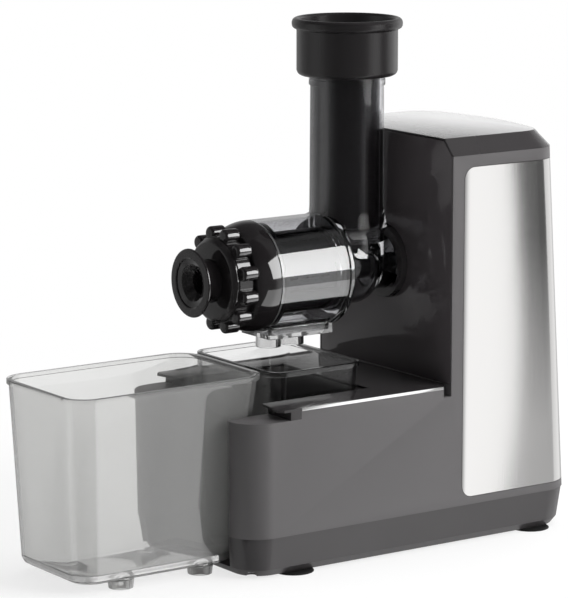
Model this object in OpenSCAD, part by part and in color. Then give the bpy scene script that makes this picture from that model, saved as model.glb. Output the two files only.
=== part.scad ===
// Horizontal slow juicer: a motor tower with a two-armed base, a clear feeding drum with
// chute and pusher, a geared auger drive, and two containers that stand between the arms.
// X runs across, +Y runs to the back of the tower, Z is up and 0 is the table.

/* [Tower] */
// Width of the tower and of the base
body_w = 179; // [165:1:200]
// Depth of the tower at its foot, front face to rear apex
tower_d = 140; // [132:1:150]
// Height of the flat top above the table
tower_h = 327; // [315:1:345]
// Height of the sloping band under the flat top
brow_h = 13; // [8:1:18]
// How far the sloping band draws in at the sides and back
brow_in = 11.5; // [6:0.5:16]
// How far the back leans forward between foot and brow
rear_lean = 18; // [8:0.5:22]
// Radius of the shallow curve across the back
rear_arc_r = 220; // [180:5:400]
// Radius of the two rear corners
rear_corner_r = 30; // [20:1:40]
// Wall thickness of the plastic shells
wall = 3; // [2:0.25:3.5]

/* [Base] */
// Length of the whole machine, container front to tower back
overall_len = 468; // [450:1:485]
// How far the pulp container stands out in front of the arms
pulp_out = 133; // [125:1:140]
// Height of the top of the arms
arm_top_z = 123; // [115:1:126]
// Clear width between the arms
channel_w = 117; // [112:1:124]
// Gap between the two containers, and behind the rear one
tub_gap = 2; // [1.5:0.25:4]
// Outer corner radius at the front of the arms
arm_corner_r = 25; // [15:1:30]
// Height of the joint between housing and bottom tray
split_z = 32.5; // [26:0.5:38]
// Underside of the bottom tray above the table
tray_z = 1.5; // [1.2:0.1:3]
// Top of the floor between the arms
floor_z = 7; // [6.5:0.5:9]
// Height of the raised deck over the arms
deck_rise = 6.6; // [5:0.2:8]
// Thickness of the glossy deck plate
deck_t = 2; // [1.5:0.1:3]
// How far the glossy deck runs out in front of the bright strips
deck_nose = 20; // [12:0.5:24]
// Start of the bright strips behind the fronts of the arms
deck_front = 50.5; // [45:0.5:60]
// Gap between the raised deck's edge and the tower
deck_gap = 7.5; // [5:0.5:10]

/* [Steel wrap] */
// Thickness of the stainless sheet round the tower
wrap_t = 1; // [0.6:0.1:1.2]
// Distance of the sheet's front edge behind the tower front
wrap_front = 11.4; // [9:0.2:16]
// Lower edge of the sheet
wrap_z0 = 39; // [36:0.5:50]
// Upper edge of the sheet
wrap_z1 = 304.5; // [290:0.5:306]
// Corner radius of the sheet
wrap_r = 10; // [4:0.5:14]

/* [Drum] */
// Height of the drum axis above the table
drum_z = 220; // [216:1:226]
// Outer radius of the drum
drum_r = 44; // [42:0.5:46]
// Wall thickness of the drum
drum_wall = 3; // [2.5:0.25:3.5]
// Drum front joint, forward of the tower front
drum_front = 131; // [126:1:136]
// Length of the full-width part of the drum
drum_len = 65; // [60:1:70]
// Radius of the narrow feed section behind it
feed_r = 31.5; // [31:0.25:33]
// Where the feed section starts to round in, forward of the tower front
feed_fwd = 36; // [33:0.5:38]
// Chute axis, forward of the tower front
chute_fwd = 38; // [36:0.5:40]
// Outer radius of the chute at its top
chute_r = 29.2; // [28.5:0.1:30]
// How much wider the chute is at its foot, on the radius
chute_draft = 0.8; // [0:0.1:1.2]
// Wall thickness of the chute
chute_wall = 2.5; // [2:0.25:3]
// Top of the chute above the table
chute_top_z = 372; // [360:1:385]

/* [Pusher] */
// Outer radius of the pusher's cup head
cup_r = 40.2; // [37:0.1:42]
// Outer radius of the lip round the cup
cup_lip_r = 44; // [41:0.2:46]
// Overall height of the machine with the pusher in
overall_h = 418; // [405:1:435]

/* [Screw press] */
// Outer radius of the auger's flight
auger_r = 27; // [26:0.25:27.2]
// Radius of the auger's core
core_r = 15; // [12:0.5:18]
// Turns of the flight
auger_turns = 3.5; // [2:0.25:5]
// Front of the nozzle's disc, forward of the tower front
nozzle_fwd = 188; // [182:1:194]

/* [Containers] */
// Height of both container rims above the table
rim_z = 153; // [148:1:156]
// Length of the pulp container at its rim
pulp_len = 176; // [165:1:180]
// Length of the juice container at its rim
juice_len = 90; // [80:1:90]
// Wall of both containers
tub_wall = 2.5; // [2:0.25:3]
// Corner radius of the pulp container at its rim
tub_r = 20; // [12:1:26]

/* [Gears] */
// Module of the slow pair
slow_m = 1.5;
// Module of the fast pair
fast_m = 1.25;
// Teeth of the output wheel
wheel_n = 54;
// Teeth of the idler wheel
idler_n = 60;
// Teeth of both pinions
pinion_n = 12;
// Play between meshed teeth
backlash = 0.3; // [0.2:0.05:0.4]

/* [Hidden] */
$fn = 72;

run_gap = 0.08;   // radial gap of shafts and turning fits
fit_gap = 0.3;    // gap between pieces that are pushed together
pocket_t = 2.5;   // depth of the pocket for the front panel
edge = 1.3;       // rim of housing left round the front panel
eps = 0.01;

hw = body_w / 2;
back_y = overall_len / 2;
front_y = back_y - tower_d;             // front face of the tower
brow_z = tower_h - brow_h;
chan_hw = channel_w / 2;
pulp_y0 = -back_y;
pulp_y1 = pulp_y0 + pulp_len;
arm_front_y = pulp_y0 + pulp_out;       // fronts of the arms
juice_y0 = pulp_y1 + tub_gap;
juice_y1 = juice_y0 + juice_len;
chan_y1 = juice_y1 + tub_gap;           // the channel ends behind the juice container
deck_y1 = front_y - deck_gap;
deck_y0 = arm_front_y + deck_front;
plinth_z = arm_top_z + deck_rise;
wall_y1 = front_y + pocket_t + wall;    // inner face of the tower's front wall

smoke = [0.25, 0.25, 0.27, 0.6];
clear = [0.85, 0.87, 0.88, 0.45];
black = [0.09, 0.09, 0.09];
grey = [0.33, 0.32, 0.33];
steel = [0.75, 0.75, 0.75];
white = [0.9, 0.9, 0.88];

// ---------- plan outlines ----------
function arc(cx, cy, r, a0, a1, n) =
    [for (i = [0:n]) let (a = a0 + (a1 - a0) * i / n) [cx + r * cos(a), cy + r * sin(a)]];

// Right-hand half of the back: the corner arc runs into the shallow arc on the centre line.
function back_half(w, y, rc) =
    let (ra = max(rear_arc_r, w + 2), cx = w - rc,
         cy = y - ra + sqrt((ra - rc) * (ra - rc) - cx * cx),
         a = acos(cx / (ra - rc)))
    concat(arc(cx, cy, rc, 0, a, 12), arc(0, y - ra, ra, a + (90 - a) / 6, 90, 5));
function flip(p) = [for (i = [len(p) - 1:-1:0]) [-p[i][0], p[i][1]]];
function tower_plan(w, y0, y1, rc) = let (h = back_half(w, y1, rc))
    concat([[-w, y0], [w, y0]], h, flip([for (i = [0:len(h) - 2]) h[i]]));
function base_plan(in) = let (h = back_half(hw - in, back_y - in, rear_corner_r - in / 2),
                              r = arm_corner_r - in / 2, f = arm_front_y + in)
    concat(arc(-(hw - in - r), f + r, r, 180, 270, 10), arc(hw - in - r, f + r, r, 270, 360, 10),
           h, flip([for (i = [0:len(h) - 2]) h[i]]));
function back_at(z) = back_y - rear_lean * (z - split_z) / (brow_z - split_z);
function round_rect(x0, x1, y0, y1, r) =
    concat(arc(x1 - r, y0 + r, r, 270, 360, 8), arc(x1 - r, y1 - r, r, 0, 90, 8),
           arc(x0 + r, y1 - r, r, 90, 180, 8), arc(x0 + r, y0 + r, r, 180, 270, 8));

module slab(z, pts) translate([0, 0, z]) linear_extrude(eps) polygon(pts);

// The leaning tower between two heights, drawn in by an amount on the sides and back.
module tower_form(in, z0, z1, y0) hull() {
    slab(z0, tower_plan(hw - in, y0, back_at(z0) - in, rear_corner_r - in));
    slab(z1 - eps, tower_plan(hw - in, y0, back_at(z1) - in, rear_corner_r - in));
}

// Lays a piece along Y: its own Z axis runs backwards from the given place.
module lie_back(y, z = drum_z, x = 0) translate([x, y, z]) rotate([-90, 0, 0]) children();
module bar(y0, y1, r, z = drum_z, x = 0) lie_back(y0, z, x) cylinder(h = y1 - y0, r = r);
module block(lo, hi) translate(lo) cube(hi - lo);

// ---------- base and tower shells ----------
// Outline of the raised deck, open over the channel: it starts at y0, with its front corner
// cut off, and its outer edges are drawn in by an amount beside the bright strips.
deck_end_in = 9;                        // how far its rear end stands in from the sides
module deck_plan(in, y0, y1) {
    nose = deck_y0 - y0;
    cut = min(nose, 4);
    right = concat([[chan_hw, chan_y1], [chan_hw, y0 + nose / 4]],
                   nose > 0 ? [[hw - cut, y0], [hw, y0 + cut], [hw, deck_y0]] : [],
                   [[hw - in, deck_y0], [hw - in, deck_y1], [hw - deck_end_in, deck_y1],
                    [hw - deck_end_in, y1]]);
    polygon(concat(right, flip(right)));
}

module channel_cut(z0, z1) {
    r = 8;
    translate([0, 0, z0]) linear_extrude(z1 - z0) {
        difference() {
            translate([-chan_hw - r, arm_front_y - 1])
                square([2 * (chan_hw + r), chan_y1 - arm_front_y + 1]);
            for (s = [-1, 1]) {
                translate([s * (chan_hw + r), arm_front_y + r]) circle(r);
                translate([s * (chan_hw + r / 2 + eps), (arm_front_y + r + chan_y1) / 2 + 1])
                    square([r, chan_y1 - arm_front_y - r + 2], center = true);
            }
        }
    }
}

// Window of the steel sheet seen from the side, open towards the back.
module wrap_window(in) {
    translate([-body_w, 0, 0]) rotate([90, 0, 90]) linear_extrude(2 * body_w) union() {
        y = front_y + wrap_front + in;
        r = wrap_r - in;
        translate([y + r, wrap_z0 + in]) square([tower_d + 20, wrap_z1 - wrap_z0 - 2 * in]);
        translate([y, wrap_z0 + in + r]) square([tower_d, wrap_z1 - wrap_z0 - 2 * in - 2 * r]);
        for (z = [wrap_z0 + in + r, wrap_z1 - in - r]) translate([y + r, z]) circle(r);
    }
}

// Front face of the tower, drawn in by the rim, for the glossy panel and its pocket.
module panel_face(in) polygon([[-(hw - in), plinth_z + deck_t + in - edge + fit_gap],
    [hw - in, plinth_z + deck_t + in - edge + fit_gap], [hw - in, brow_z - in * 0.3],
    [hw - brow_in - in, tower_h - in], [-(hw - brow_in - in), tower_h - in],
    [-(hw - in), brow_z - in * 0.3]]);
module panel_block(in, y0, y1) translate([0, y1, 0]) rotate([90, 0, 0])
    linear_extrude(y1 - y0) panel_face(in);

switch_z = 75;
switch_w = 26;
switch_h = 19;
gland_z = 19;
gland_r = 6;
screw_at = [for (s = [-1, 1]) for (y = [arm_front_y + 14, front_y - 20, back_y - 72])
    [s * (hw - 15), y]];
foot_at = [for (s = [-1, 1]) for (y = [arm_front_y + 53, back_y - 47]) [s * (hw - 14.5), y]];
screw_r = 1.7;
boss_h = 14;
foot_r = 16;
stem_r = 3.5;
barb_r = 4.3;
hub_foot_r = 6;                         // thick middle of a foot
foot_z = tray_z + 3.5;                  // top of the pocket it sits in

module main_housing() color(grey) difference() {
    union() {
        tower_form(0, split_z, brow_z, front_y);
        translate([0, 0, split_z]) linear_extrude(arm_top_z - split_z) intersection() {
            polygon(base_plan(0));
            translate([-hw, arm_front_y]) square([body_w, front_y + 20 - arm_front_y]);
        }
        translate([0, 0, arm_top_z - eps]) linear_extrude(deck_rise) deck_plan(0, deck_y0, front_y);
    }
    difference() {
        union() {
            tower_form(wall, split_z - 1, brow_z + 1, wall_y1);
            translate([0, 0, split_z - 1]) linear_extrude(arm_top_z - wall - split_z + 1)
                difference() {
                    intersection() {
                        polygon(base_plan(wall));
                        translate([-hw, arm_front_y]) square([body_w, front_y + 10 - arm_front_y]);
                    }
                    translate([-chan_hw - wall, arm_front_y - 1])
                        square([2 * (chan_hw + wall), chan_y1 + wall - arm_front_y + 1]);
                }
        }
        // ribbed bosses for the tray screws
        for (p = screw_at) {
            translate([p[0], p[1], split_z]) cylinder(h = boss_h, r = 5);
            translate([p[0] + sign(p[0]) * 7, p[1], split_z + boss_h / 2])
                cube([14, 3, boss_h], center = true);
        }
    }
    for (p = screw_at) translate([p[0], p[1], split_z - 1]) cylinder(h = boss_h - 1, r = screw_r + 0.02);
    channel_cut(split_z - 1, plinth_z + 1);
    // seat of the glossy front panel, and the way through for the drive
    panel_block(edge, front_y - 1, front_y + pocket_t);
    bar(front_y - 1, wall_y1 + 1, socket_r + fit_gap);
    // seat of the chrome edge strips and of the steel sheet
    for (s = [-1, 1]) block([s * hw - (s > 0 ? trim_w : 1), deck_y0 - 1, plinth_z - trim_drop],
                            [s * hw + (s > 0 ? 1 : trim_w), deck_y1 + 1, plinth_z + 1]);
    intersection() {
        difference() {
            tower_form(-1, split_z + 1, brow_z - 1, front_y + 1);
            tower_form(wrap_t + 0.15, split_z, brow_z, front_y);
        }
        wrap_window(-fit_gap);
    }
    for (a = [45:90:315]) lie_back(wall_y1 - 2.6) rotate([0, 0, a]) translate([socket_r + 5.5, 0, 0])
        cylinder(h = 3, r = 1.82);
    // switch opening in the back, and the flat seat of the switch's flange
    block([-switch_w / 2, back_y - 20, switch_z - switch_h / 2],
          [switch_w / 2, back_y + 5, switch_z + switch_h / 2]);
    switch_seat(fit_gap, sw_seat);
}
// Flat seat for the switch's flange, cut in from the back as deep as y0.
module switch_seat(gap, y0) block([-switch_w / 2 - 2 - gap, y0, switch_z - switch_h / 2 - 2 - gap],
                                  [switch_w / 2 + 2 + gap, back_y + 5, switch_z + switch_h / 2 + 2 + gap]);

trim_w = 2.4;
trim_drop = 0.4;

module top_cover() color(grey) difference() {
    union() {
        hull() {
            slab(brow_z, tower_plan(hw, front_y, back_at(brow_z), rear_corner_r));
            slab(tower_h - eps, tower_plan(hw - brow_in, front_y, back_at(brow_z) - brow_in,
                                           rear_corner_r - brow_in / 2));
        }
        // skirt that slides inside the housing
        translate([0, 0, brow_z - 5]) linear_extrude(5 + eps)
            polygon(tower_plan(hw - wall - fit_gap, wall_y1 + fit_gap,
                               back_at(brow_z) - wall - fit_gap, rear_corner_r - wall));
    }
    hull() {
        slab(brow_z - 6, tower_plan(hw - 2 * wall, wall_y1 + wall, back_at(brow_z) - 2 * wall,
                                    rear_corner_r - 2 * wall));
        slab(brow_z, tower_plan(hw - 2 * wall, wall_y1 + wall, back_at(brow_z) - 2 * wall,
                                rear_corner_r - 2 * wall));
        slab(tower_h - wall, tower_plan(hw - brow_in - wall, wall_y1 + wall,
                                        back_at(brow_z) - brow_in - wall,
                                        rear_corner_r - 2 * wall));
    }
    panel_block(edge, front_y - 1, front_y + pocket_t);
}

module front_panel() color(black) difference() {
    panel_block(edge + fit_gap / 2, front_y, front_y + pocket_t);
    bar(front_y - 1, front_y + pocket_t + 1, socket_r + fit_gap);
}

module steel_wrap() color(steel) difference() {
    intersection() {
        difference() {
            tower_form(0, split_z + 1, brow_z - 1, front_y + 1);
            tower_form(wrap_t, split_z, brow_z, front_y);
        }
        wrap_window(0);
    }
    switch_seat(fit_gap, sw_seat - 2 * wrap_t);
}

// Glossy plate over the deck; its nose hangs over a block that stands on each arm.
module deck_plate() color(black) {
    translate([0, 0, plinth_z]) linear_extrude(deck_t)
        deck_plan(trim_w + 0.2, deck_y0 - deck_nose, front_y - 0.2);
    for (s = [-1, 1]) translate([s * (chan_hw + hw) / 2, deck_y0 - deck_nose / 4, arm_top_z])
        linear_extrude(deck_rise + eps) square([hw - chan_hw, deck_nose / 2 - 0.2], center = true);
}

module deck_trim() color("gainsboro") for (s = [-1, 1])
    block([s > 0 ? hw - trim_w : -hw, deck_y0 + 0.2, plinth_z - trim_drop],
          [s > 0 ? hw : -hw + trim_w, deck_y1, plinth_z + deck_t + 0.3]);

module bottom_tray() color([0.2, 0.2, 0.2]) difference() {
    hull() {
        slab(split_z - eps, base_plan(0.6));
        slab(split_z - 12, base_plan(2.2));
        slab(tray_z + 5.5, base_plan(4));
        slab(tray_z, base_plan(8));
    }
    // hollow, left solid under the floor between the arms
    difference() {
        hull() {
            slab(split_z + 1, base_plan(wall + 0.6));
            slab(tray_z + 5.5, base_plan(wall + 4));
            slab(tray_z + wall, base_plan(wall + 6.5));
        }
        block([-chan_hw - wall, arm_front_y, 0], [chan_hw + wall, chan_y1 + wall, split_z]);
        for (p = screw_at) translate([p[0], p[1], 0]) cylinder(h = split_z, r = 5);
        for (p = foot_at) translate([p[0], p[1], 0]) cylinder(h = foot_z + wall, r = hub_foot_r + wall);
    }
    channel_cut(floor_z, split_z + 1);
    for (p = foot_at) translate([p[0], p[1], 0]) {
        cylinder(h = foot_z, r = hub_foot_r + fit_gap);
        cylinder(h = foot_z + wall + 1, r = stem_r + run_gap);
        translate([0, 0, foot_z + wall]) cylinder(h = 5, r = barb_r + fit_gap);
    }
    for (p = screw_at) translate([p[0], p[1], 0]) {
        cylinder(h = split_z + 1, r = 2);
        cylinder(h = tray_z + 6, r = 4);
    }
    bar(back_y - 40, back_y + 1, gland_r, gland_z);
}

// Rubber suction cups that sit in pockets of the tray and snap in with a barbed stem.
module suction_feet() color([0.12, 0.12, 0.12]) for (p = foot_at) translate([p[0], p[1], 0])
    rotate_extrude() polygon([[foot_r - 5, 0], [foot_r, 0], [foot_r, 0.5], [foot_r - 1.5, tray_z - 0.1],
        [hub_foot_r, tray_z - 0.1], [hub_foot_r, foot_z], [stem_r, foot_z], [stem_r, foot_z + wall],
        [barb_r, foot_z + wall + 0.3], [stem_r - 1, foot_z + wall + 3], [0, foot_z + wall + 3],
        [0, foot_z - 2.5], [hub_foot_r - 2.5, foot_z - 2.8], [hub_foot_r - 0.5, 0.6],
        [foot_r - 7, 0.6]]);

module tray_screws() color("silver") for (p = screw_at) translate([p[0], p[1], 0]) {
    translate([0, 0, tray_z + 3]) cylinder(h = 3, r = 3.6);
    translate([0, 0, tray_z + 6 - eps]) cylinder(h = split_z + 8 - tray_z - 6, r = screw_r);
}

// ---------- drive ----------
socket_r = 29.5;
spigot_r = 22;
spigot_y1 = front_y + 4;
lug_r = 25;
lug_y = front_y - 2;
lug_t = 3;
plate_t = 3;
plate1_y = wall_y1 + 3;                 // front face of the front gear plate
plate2_y = plate1_y + 28.5;             // front face of the rear gear plate
wheel_y = plate1_y + plate_t + 2.5;
wheel_t = 10;
idler_y = wheel_y + wheel_t + 2;
idler_t = 7;
idler_z = drum_z - slow_m * (wheel_n + pinion_n) / 2;
motor_z = idler_z - fast_m * (idler_n + pinion_n) / 2;
shaft_r = 6;
tail_r = 4;
brg_r = 13;
brg_t = 8;
brg1_y = plate1_y + plate_t + 1.5 - brg_t;
brg2_r = 9.5;
brg2_t = 6;
motor_r = 36;
motor_len = 65;
motor_y = plate2_y + plate_t;
post_at = [for (s = [-1, 1]) for (z = [motor_z - 30, drum_z + 44]) [s * 43, z]];

// Involute gear outline with thinned teeth.
function inv(a) = tan(a) * 180 / PI - a;
function pol(r, a) = [r * cos(a), r * sin(a)];
function gear_pts(m, n, add) =
    let (rp = m * n / 2, rb = rp * cos(20), ra = rp + add * m, rf = rp - 1.25 * m,
         rs = max(rb + 0.01, rf), k = 4,
         half = function(r) 90 / n - backlash / rp * 45 / PI + inv(20) - inv(acos(rb / r)))
    [for (t = [0:n - 1]) let (c = 360 * t / n) each concat(
        [pol(rf, c - half(rs))],
        [for (i = [0:k]) let (r = rs + (ra - rs) * i / k) pol(r, c - half(r))],
        [for (i = [k:-1:0]) let (r = rs + (ra - rs) * i / k) pol(r, c + half(r))],
        [pol(rf, c + half(rs))])];

// Collar that takes the drum's bayonet spigot, with its flange behind the front wall.
module drum_socket() color(black) difference() {
    union() {
        bar(front_y - 4.7, plate1_y, socket_r);
        bar(wall_y1, plate1_y, socket_r + 10);
    }
    bar(front_y - 5, spigot_y1 + 0.8, spigot_r + run_gap);
    bar(spigot_y1, plate1_y + 1, brg_r + 4.3);
    bar(lug_y - 0.4, lug_y + lug_t + 0.4, lug_r + 0.5);
    for (a = [0, 120, 240]) lie_back(front_y - 5) rotate([0, 0, a + 32]) intersection() {
        cylinder(h = 5 + lug_y + lug_t - front_y, r = lug_r + fit_gap);
        translate([0, -5, -1]) cube([30, 10, 20]);
    }
    for (a = [45:90:315]) lie_back(wall_y1 - 1) rotate([0, 0, a])
        translate([socket_r + 5.5, 0, 0]) cylinder(h = 10, r = 1.9);
}

module plate_2d() polygon(round_rect(-52, 52, motor_z - 40, drum_z + 54, 12));
module gear_plate(y) translate([0, y + plate_t, 0]) rotate([90, 0, 0])
    linear_extrude(plate_t) plate_2d();

module gearbox_front_plate() color("darkgray") difference() {
    union() {
        gear_plate(plate1_y);
        bar(brg1_y, brg1_y + brg_t, brg_r + 4);
    }
    bar(brg1_y - 1, brg1_y + brg_t + 1, brg_r + 0.02);
    bar(plate1_y - 1, plate1_y + plate_t + 1, tail_r + 0.02, idler_z);
    for (p = post_at) bar(plate1_y - 1, plate1_y + plate_t + 1, 2.1, p[1], p[0]);
    for (a = [45:90:315]) lie_back(plate1_y - 1) rotate([0, 0, a])
        translate([socket_r + 5.5, 0, 0]) cylinder(h = 10, r = 1.9);
}

module gearbox_rear_plate() color("darkgray") difference() {
    union() {
        gear_plate(plate2_y);
        bar(plate2_y - 2, plate2_y + 4, brg2_r + 3);
    }
    bar(plate2_y - 3, plate2_y + 5, brg2_r + 0.02);
    bar(plate2_y - 1, plate2_y + plate_t + 1, tail_r + 0.02, idler_z);
    bar(plate2_y - 1, plate2_y + plate_t + 1, 11, motor_z);
    for (p = post_at) bar(plate2_y - 1, plate2_y + plate_t + 1, 2.1, p[1], p[0]);
    for (a = [45:90:315]) lie_back(plate2_y - 1, motor_z) rotate([0, 0, a])
        translate([24, 0, 0]) cylinder(h = 10, r = 2.1);
}

module gearbox_posts() color("silver") for (p = post_at) difference() {
    bar(plate1_y + plate_t, plate2_y, 4.5, p[1], p[0]);
    bar(plate1_y, plate2_y + 1, 2.1, p[1], p[0]);
}

// Long screws through the posts, and four that pull plate and socket flange to the front wall.
module gearbox_screws() color("dimgray") {
    for (p = post_at) {
        bar(plate2_y + plate_t, plate2_y + plate_t + 3, 3.8, p[1], p[0]);
        bar(plate1_y + 0.5, plate2_y + plate_t + eps, 2, p[1], p[0]);
    }
    for (a = [45:90:315]) lie_back(wall_y1 - 2.4) rotate([0, 0, a]) translate([socket_r + 5.5, 0, 0]) {
        cylinder(h = plate1_y + plate_t - wall_y1 + 2.4 + eps, r = 1.8);
        translate([0, 0, plate1_y + plate_t - wall_y1 + 2.4]) cylinder(h = 2, r = 3.4);
    }
}

// A ball bearing as one ring: raised races and a sunk seal on both faces.
module bearing(y, t, ro, ri, z) {
    mid = (ro + ri) / 2;
    lie_back(y, z) rotate_extrude() polygon([[ri + run_gap, 0], [mid - 1, 0], [mid - 1, 0.6],
        [mid + 1, 0.6], [mid + 1, 0], [ro, 0], [ro, t], [mid + 1, t], [mid + 1, t - 0.6],
        [mid - 1, t - 0.6], [mid - 1, t], [ri + run_gap, t]]);
}
module output_bearings() color("silver") {
    bearing(brg1_y, brg_t, brg_r, shaft_r, drum_z);
    bearing(plate2_y - 2, brg2_t, brg2_r, tail_r, drum_z);
}

hex_y0 = front_y - 14;
hex_r = 5;
module drive_shaft() color("silver") {
    lie_back(hex_y0) cylinder(h = 12, r = hex_r, $fn = 6);
    bar(front_y - 2, plate2_y - 2.5, shaft_r);
    bar(plate2_y - 3, plate2_y + 4.5, tail_r);
}

module output_gear() color("tan") difference() {
    union() {
        lie_back(wheel_y) linear_extrude(wheel_t) polygon(gear_pts(slow_m, wheel_n, 0.75));
        bar(wheel_y, wheel_y + wheel_t + 1.5, 11);
    }
    bar(wheel_y - 1, wheel_y + wheel_t + 2, shaft_r + 0.02);
    // lightened web between hub and rim
    for (y = [wheel_y - 1, wheel_y + wheel_t - 3]) difference() {
        bar(y, y + 4, 34);
        bar(y - 1, y + 5, 14);
    }
}

module idler_axle() color("silver") bar(plate1_y + 0.2, plate2_y + plate_t - 0.2, tail_r, idler_z);

module idler_gear() color("tan") difference() {
    union() {
        lie_back(wheel_y - 0.5, idler_z) linear_extrude(wheel_t + 2.6)
            polygon(gear_pts(slow_m, pinion_n, 1));
        lie_back(idler_y, idler_z) linear_extrude(idler_t) polygon(gear_pts(fast_m, idler_n, 0.75));
        bar(idler_y, idler_y + idler_t + 2, 8, idler_z);
    }
    bar(wheel_y - 2, idler_y + idler_t + 3, tail_r + run_gap, idler_z);
    difference() {
        bar(idler_y + idler_t - 3, idler_y + idler_t + 1, 31, idler_z);
        bar(idler_y + 1, idler_y + idler_t + 2, 11, idler_z);
    }
}

core_y = motor_y + 12;
core_t = 32;
module motor_can() color("lightgray") difference() {
    bar(motor_y, motor_y + motor_len, motor_r, motor_z);
    bar(motor_y + 2.5, motor_y + motor_len - 2.5, motor_r - 1.3, motor_z);
    bar(motor_y - 1, motor_y + motor_len + 1, 8.02, motor_z);
    for (a = [45:90:315]) lie_back(motor_y - 1, motor_z) rotate([0, 0, a])
        translate([24, 0, 0]) cylinder(h = 10, r = 1.9);
    for (a = [0:45:315]) lie_back(motor_y + motor_len - 4, motor_z) rotate([0, 0, a])
        translate([17, -2.5, 0]) cube([14, 5, 6]);
    for (a = [0:45:315]) lie_back(motor_y + motor_len - 14, motor_z) rotate([0, 0, a])
        translate([motor_r - 4, -4, 0]) cube([8, 8, 6]);
}

module motor_stator() color("slategray") difference() {
    bar(core_y, core_y + core_t, motor_r - 1.4, motor_z);
    bar(core_y - 1, core_y + core_t + 1, 20.5, motor_z);
    for (a = [0:30:330]) lie_back(core_y - 1, motor_z) rotate([0, 0, a])
        translate([22, -2, 0]) cube([8, 4, core_t + 2]);
}

module motor_windings() color("peru") for (y = [core_y - 5, core_y + core_t]) difference() {
    bar(y, y + 5, 31, motor_z);
    bar(y - 1, y + 6, 22.5, motor_z);
}

module motor_bearings() color("silver") {
    bearing(motor_y, 5, 8, tail_r, motor_z);
    bearing(motor_y + motor_len - 5, 5, 8, tail_r, motor_z);
}

module motor_screws() color("dimgray") for (a = [45:90:315]) lie_back(plate2_y, motor_z)
    rotate([0, 0, a]) translate([24, 0, 0]) {
        translate([0, 0, -2]) cylinder(h = 2, r = 3.4);
        translate([0, 0, -eps]) cylinder(h = plate_t + 4, r = 1.8);
    }

module rotor_shaft() color("silver") {
    bar(idler_y, motor_y + motor_len + 1.5, tail_r, motor_z);
    lie_back(idler_y - 0.4, motor_z) rotate([0, 0, 180 / pinion_n]) linear_extrude(idler_t + 0.8)
        polygon(gear_pts(fast_m, pinion_n, 1));
}

module rotor_core() color("slategray") difference() {
    bar(core_y, core_y + core_t, 20, motor_z);
    bar(core_y - 1, core_y + core_t + 1, tail_r + 0.02, motor_z);
    for (a = [0:30:330]) lie_back(core_y - 1, motor_z) rotate([0, 0, a])
        translate([15, -1, 0]) cube([8, 2, core_t + 2]);
}

module motor_fan() color("ivory") {
    y = core_y + core_t + 7;
    difference() {
        bar(y, y + 6, 9, motor_z);
        bar(y - 1, y + 7, tail_r + 0.02, motor_z);
    }
    for (a = [0:45:315]) lie_back(y, motor_z) rotate([0, 0, a]) translate([8, -0.8, 0])
        cube([20, 1.6, 6]);
    difference() {
        bar(y, y + 1.2, 28, motor_z);
        bar(y - 1, y + 2, tail_r + 0.02, motor_z);
    }
}

// ---------- switch and cord gland ----------
sw_face = back_at(switch_z);
sw_seat = sw_face - 1.5;
module switch_body() color(black) difference() {
    union() {
        block([-switch_w / 2 + 0.2, sw_face - 24, switch_z - switch_h / 2 + 0.2],
              [switch_w / 2 - 0.2, sw_face, switch_z + switch_h / 2 - 0.2]);
        block([-switch_w / 2 - 2, sw_seat, switch_z - switch_h / 2 - 2],
              [switch_w / 2 + 2, sw_face + 1.1, switch_z + switch_h / 2 + 2]);
        for (x = [-7, 0, 7]) block([x - 0.4, sw_face - 31, switch_z - 3],
                                   [x + 0.4, sw_face - 23, switch_z + 3]);
    }
    block([-switch_w / 2 + 2, sw_face - 14, switch_z - switch_h / 2 + 2],
          [switch_w / 2 - 2, sw_face + 5, switch_z + switch_h / 2 - 2]);
    translate([0, sw_face - 5, switch_z]) rotate([0, 90, 0])
        cylinder(h = switch_w - 2, r = 1.5 + run_gap, center = true);
}

// Three-position rocker: up runs, middle is off, down reverses.
module switch_rocker() color([0.15, 0.15, 0.15]) {
    translate([0, sw_face - 5, switch_z]) rotate([0, 90, 0])
        cylinder(h = switch_w - 2.4, r = 1.5, center = true);
    translate([-switch_w / 2 + 2.5, sw_face - 5, switch_z]) rotate([90, 0, 90])
        linear_extrude(switch_w - 5) polygon([[-3.5, -4], [0, -7], [5.2, -6.8], [5.8, -6.2],
            [4.9, 0], [5.8, 6.2], [5.2, 6.8], [0, 7], [-3.5, 4]]);
}

gland_len = wall + 5.7;                 // its flange lies inside the tray's sloping wall
gland_y = back_y - gland_len - 0.1;
module cord_gland() color([0.1, 0.1, 0.1]) lie_back(gland_y, gland_z) difference() {
    union() {
        cylinder(h = gland_len, r = gland_r - 0.02);
        cylinder(h = 2, r = gland_r + 2);
        translate([0, 0, gland_len - 1.2]) cylinder(h = 1.2, r1 = gland_r + 1.5, r2 = gland_r + 0.6);
    }
    translate([0, 0, -1]) cylinder(h = 20, r = 3.6);
}

// ---------- drum ----------
seam_y = front_y - drum_front;
drum_y0 = seam_y + fit_gap;
ring_y = seam_y + drum_len;
bore_r = drum_r - drum_wall;
chute_y = front_y - chute_fwd;
feed_in = auger_r + 0.8;
feed_y1 = front_y - feed_fwd;           // the feed section starts to round in here
hub_y1 = front_y - 2;                   // rear end of the auger
strain_r = 32.5;
hub_r = 7;

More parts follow.
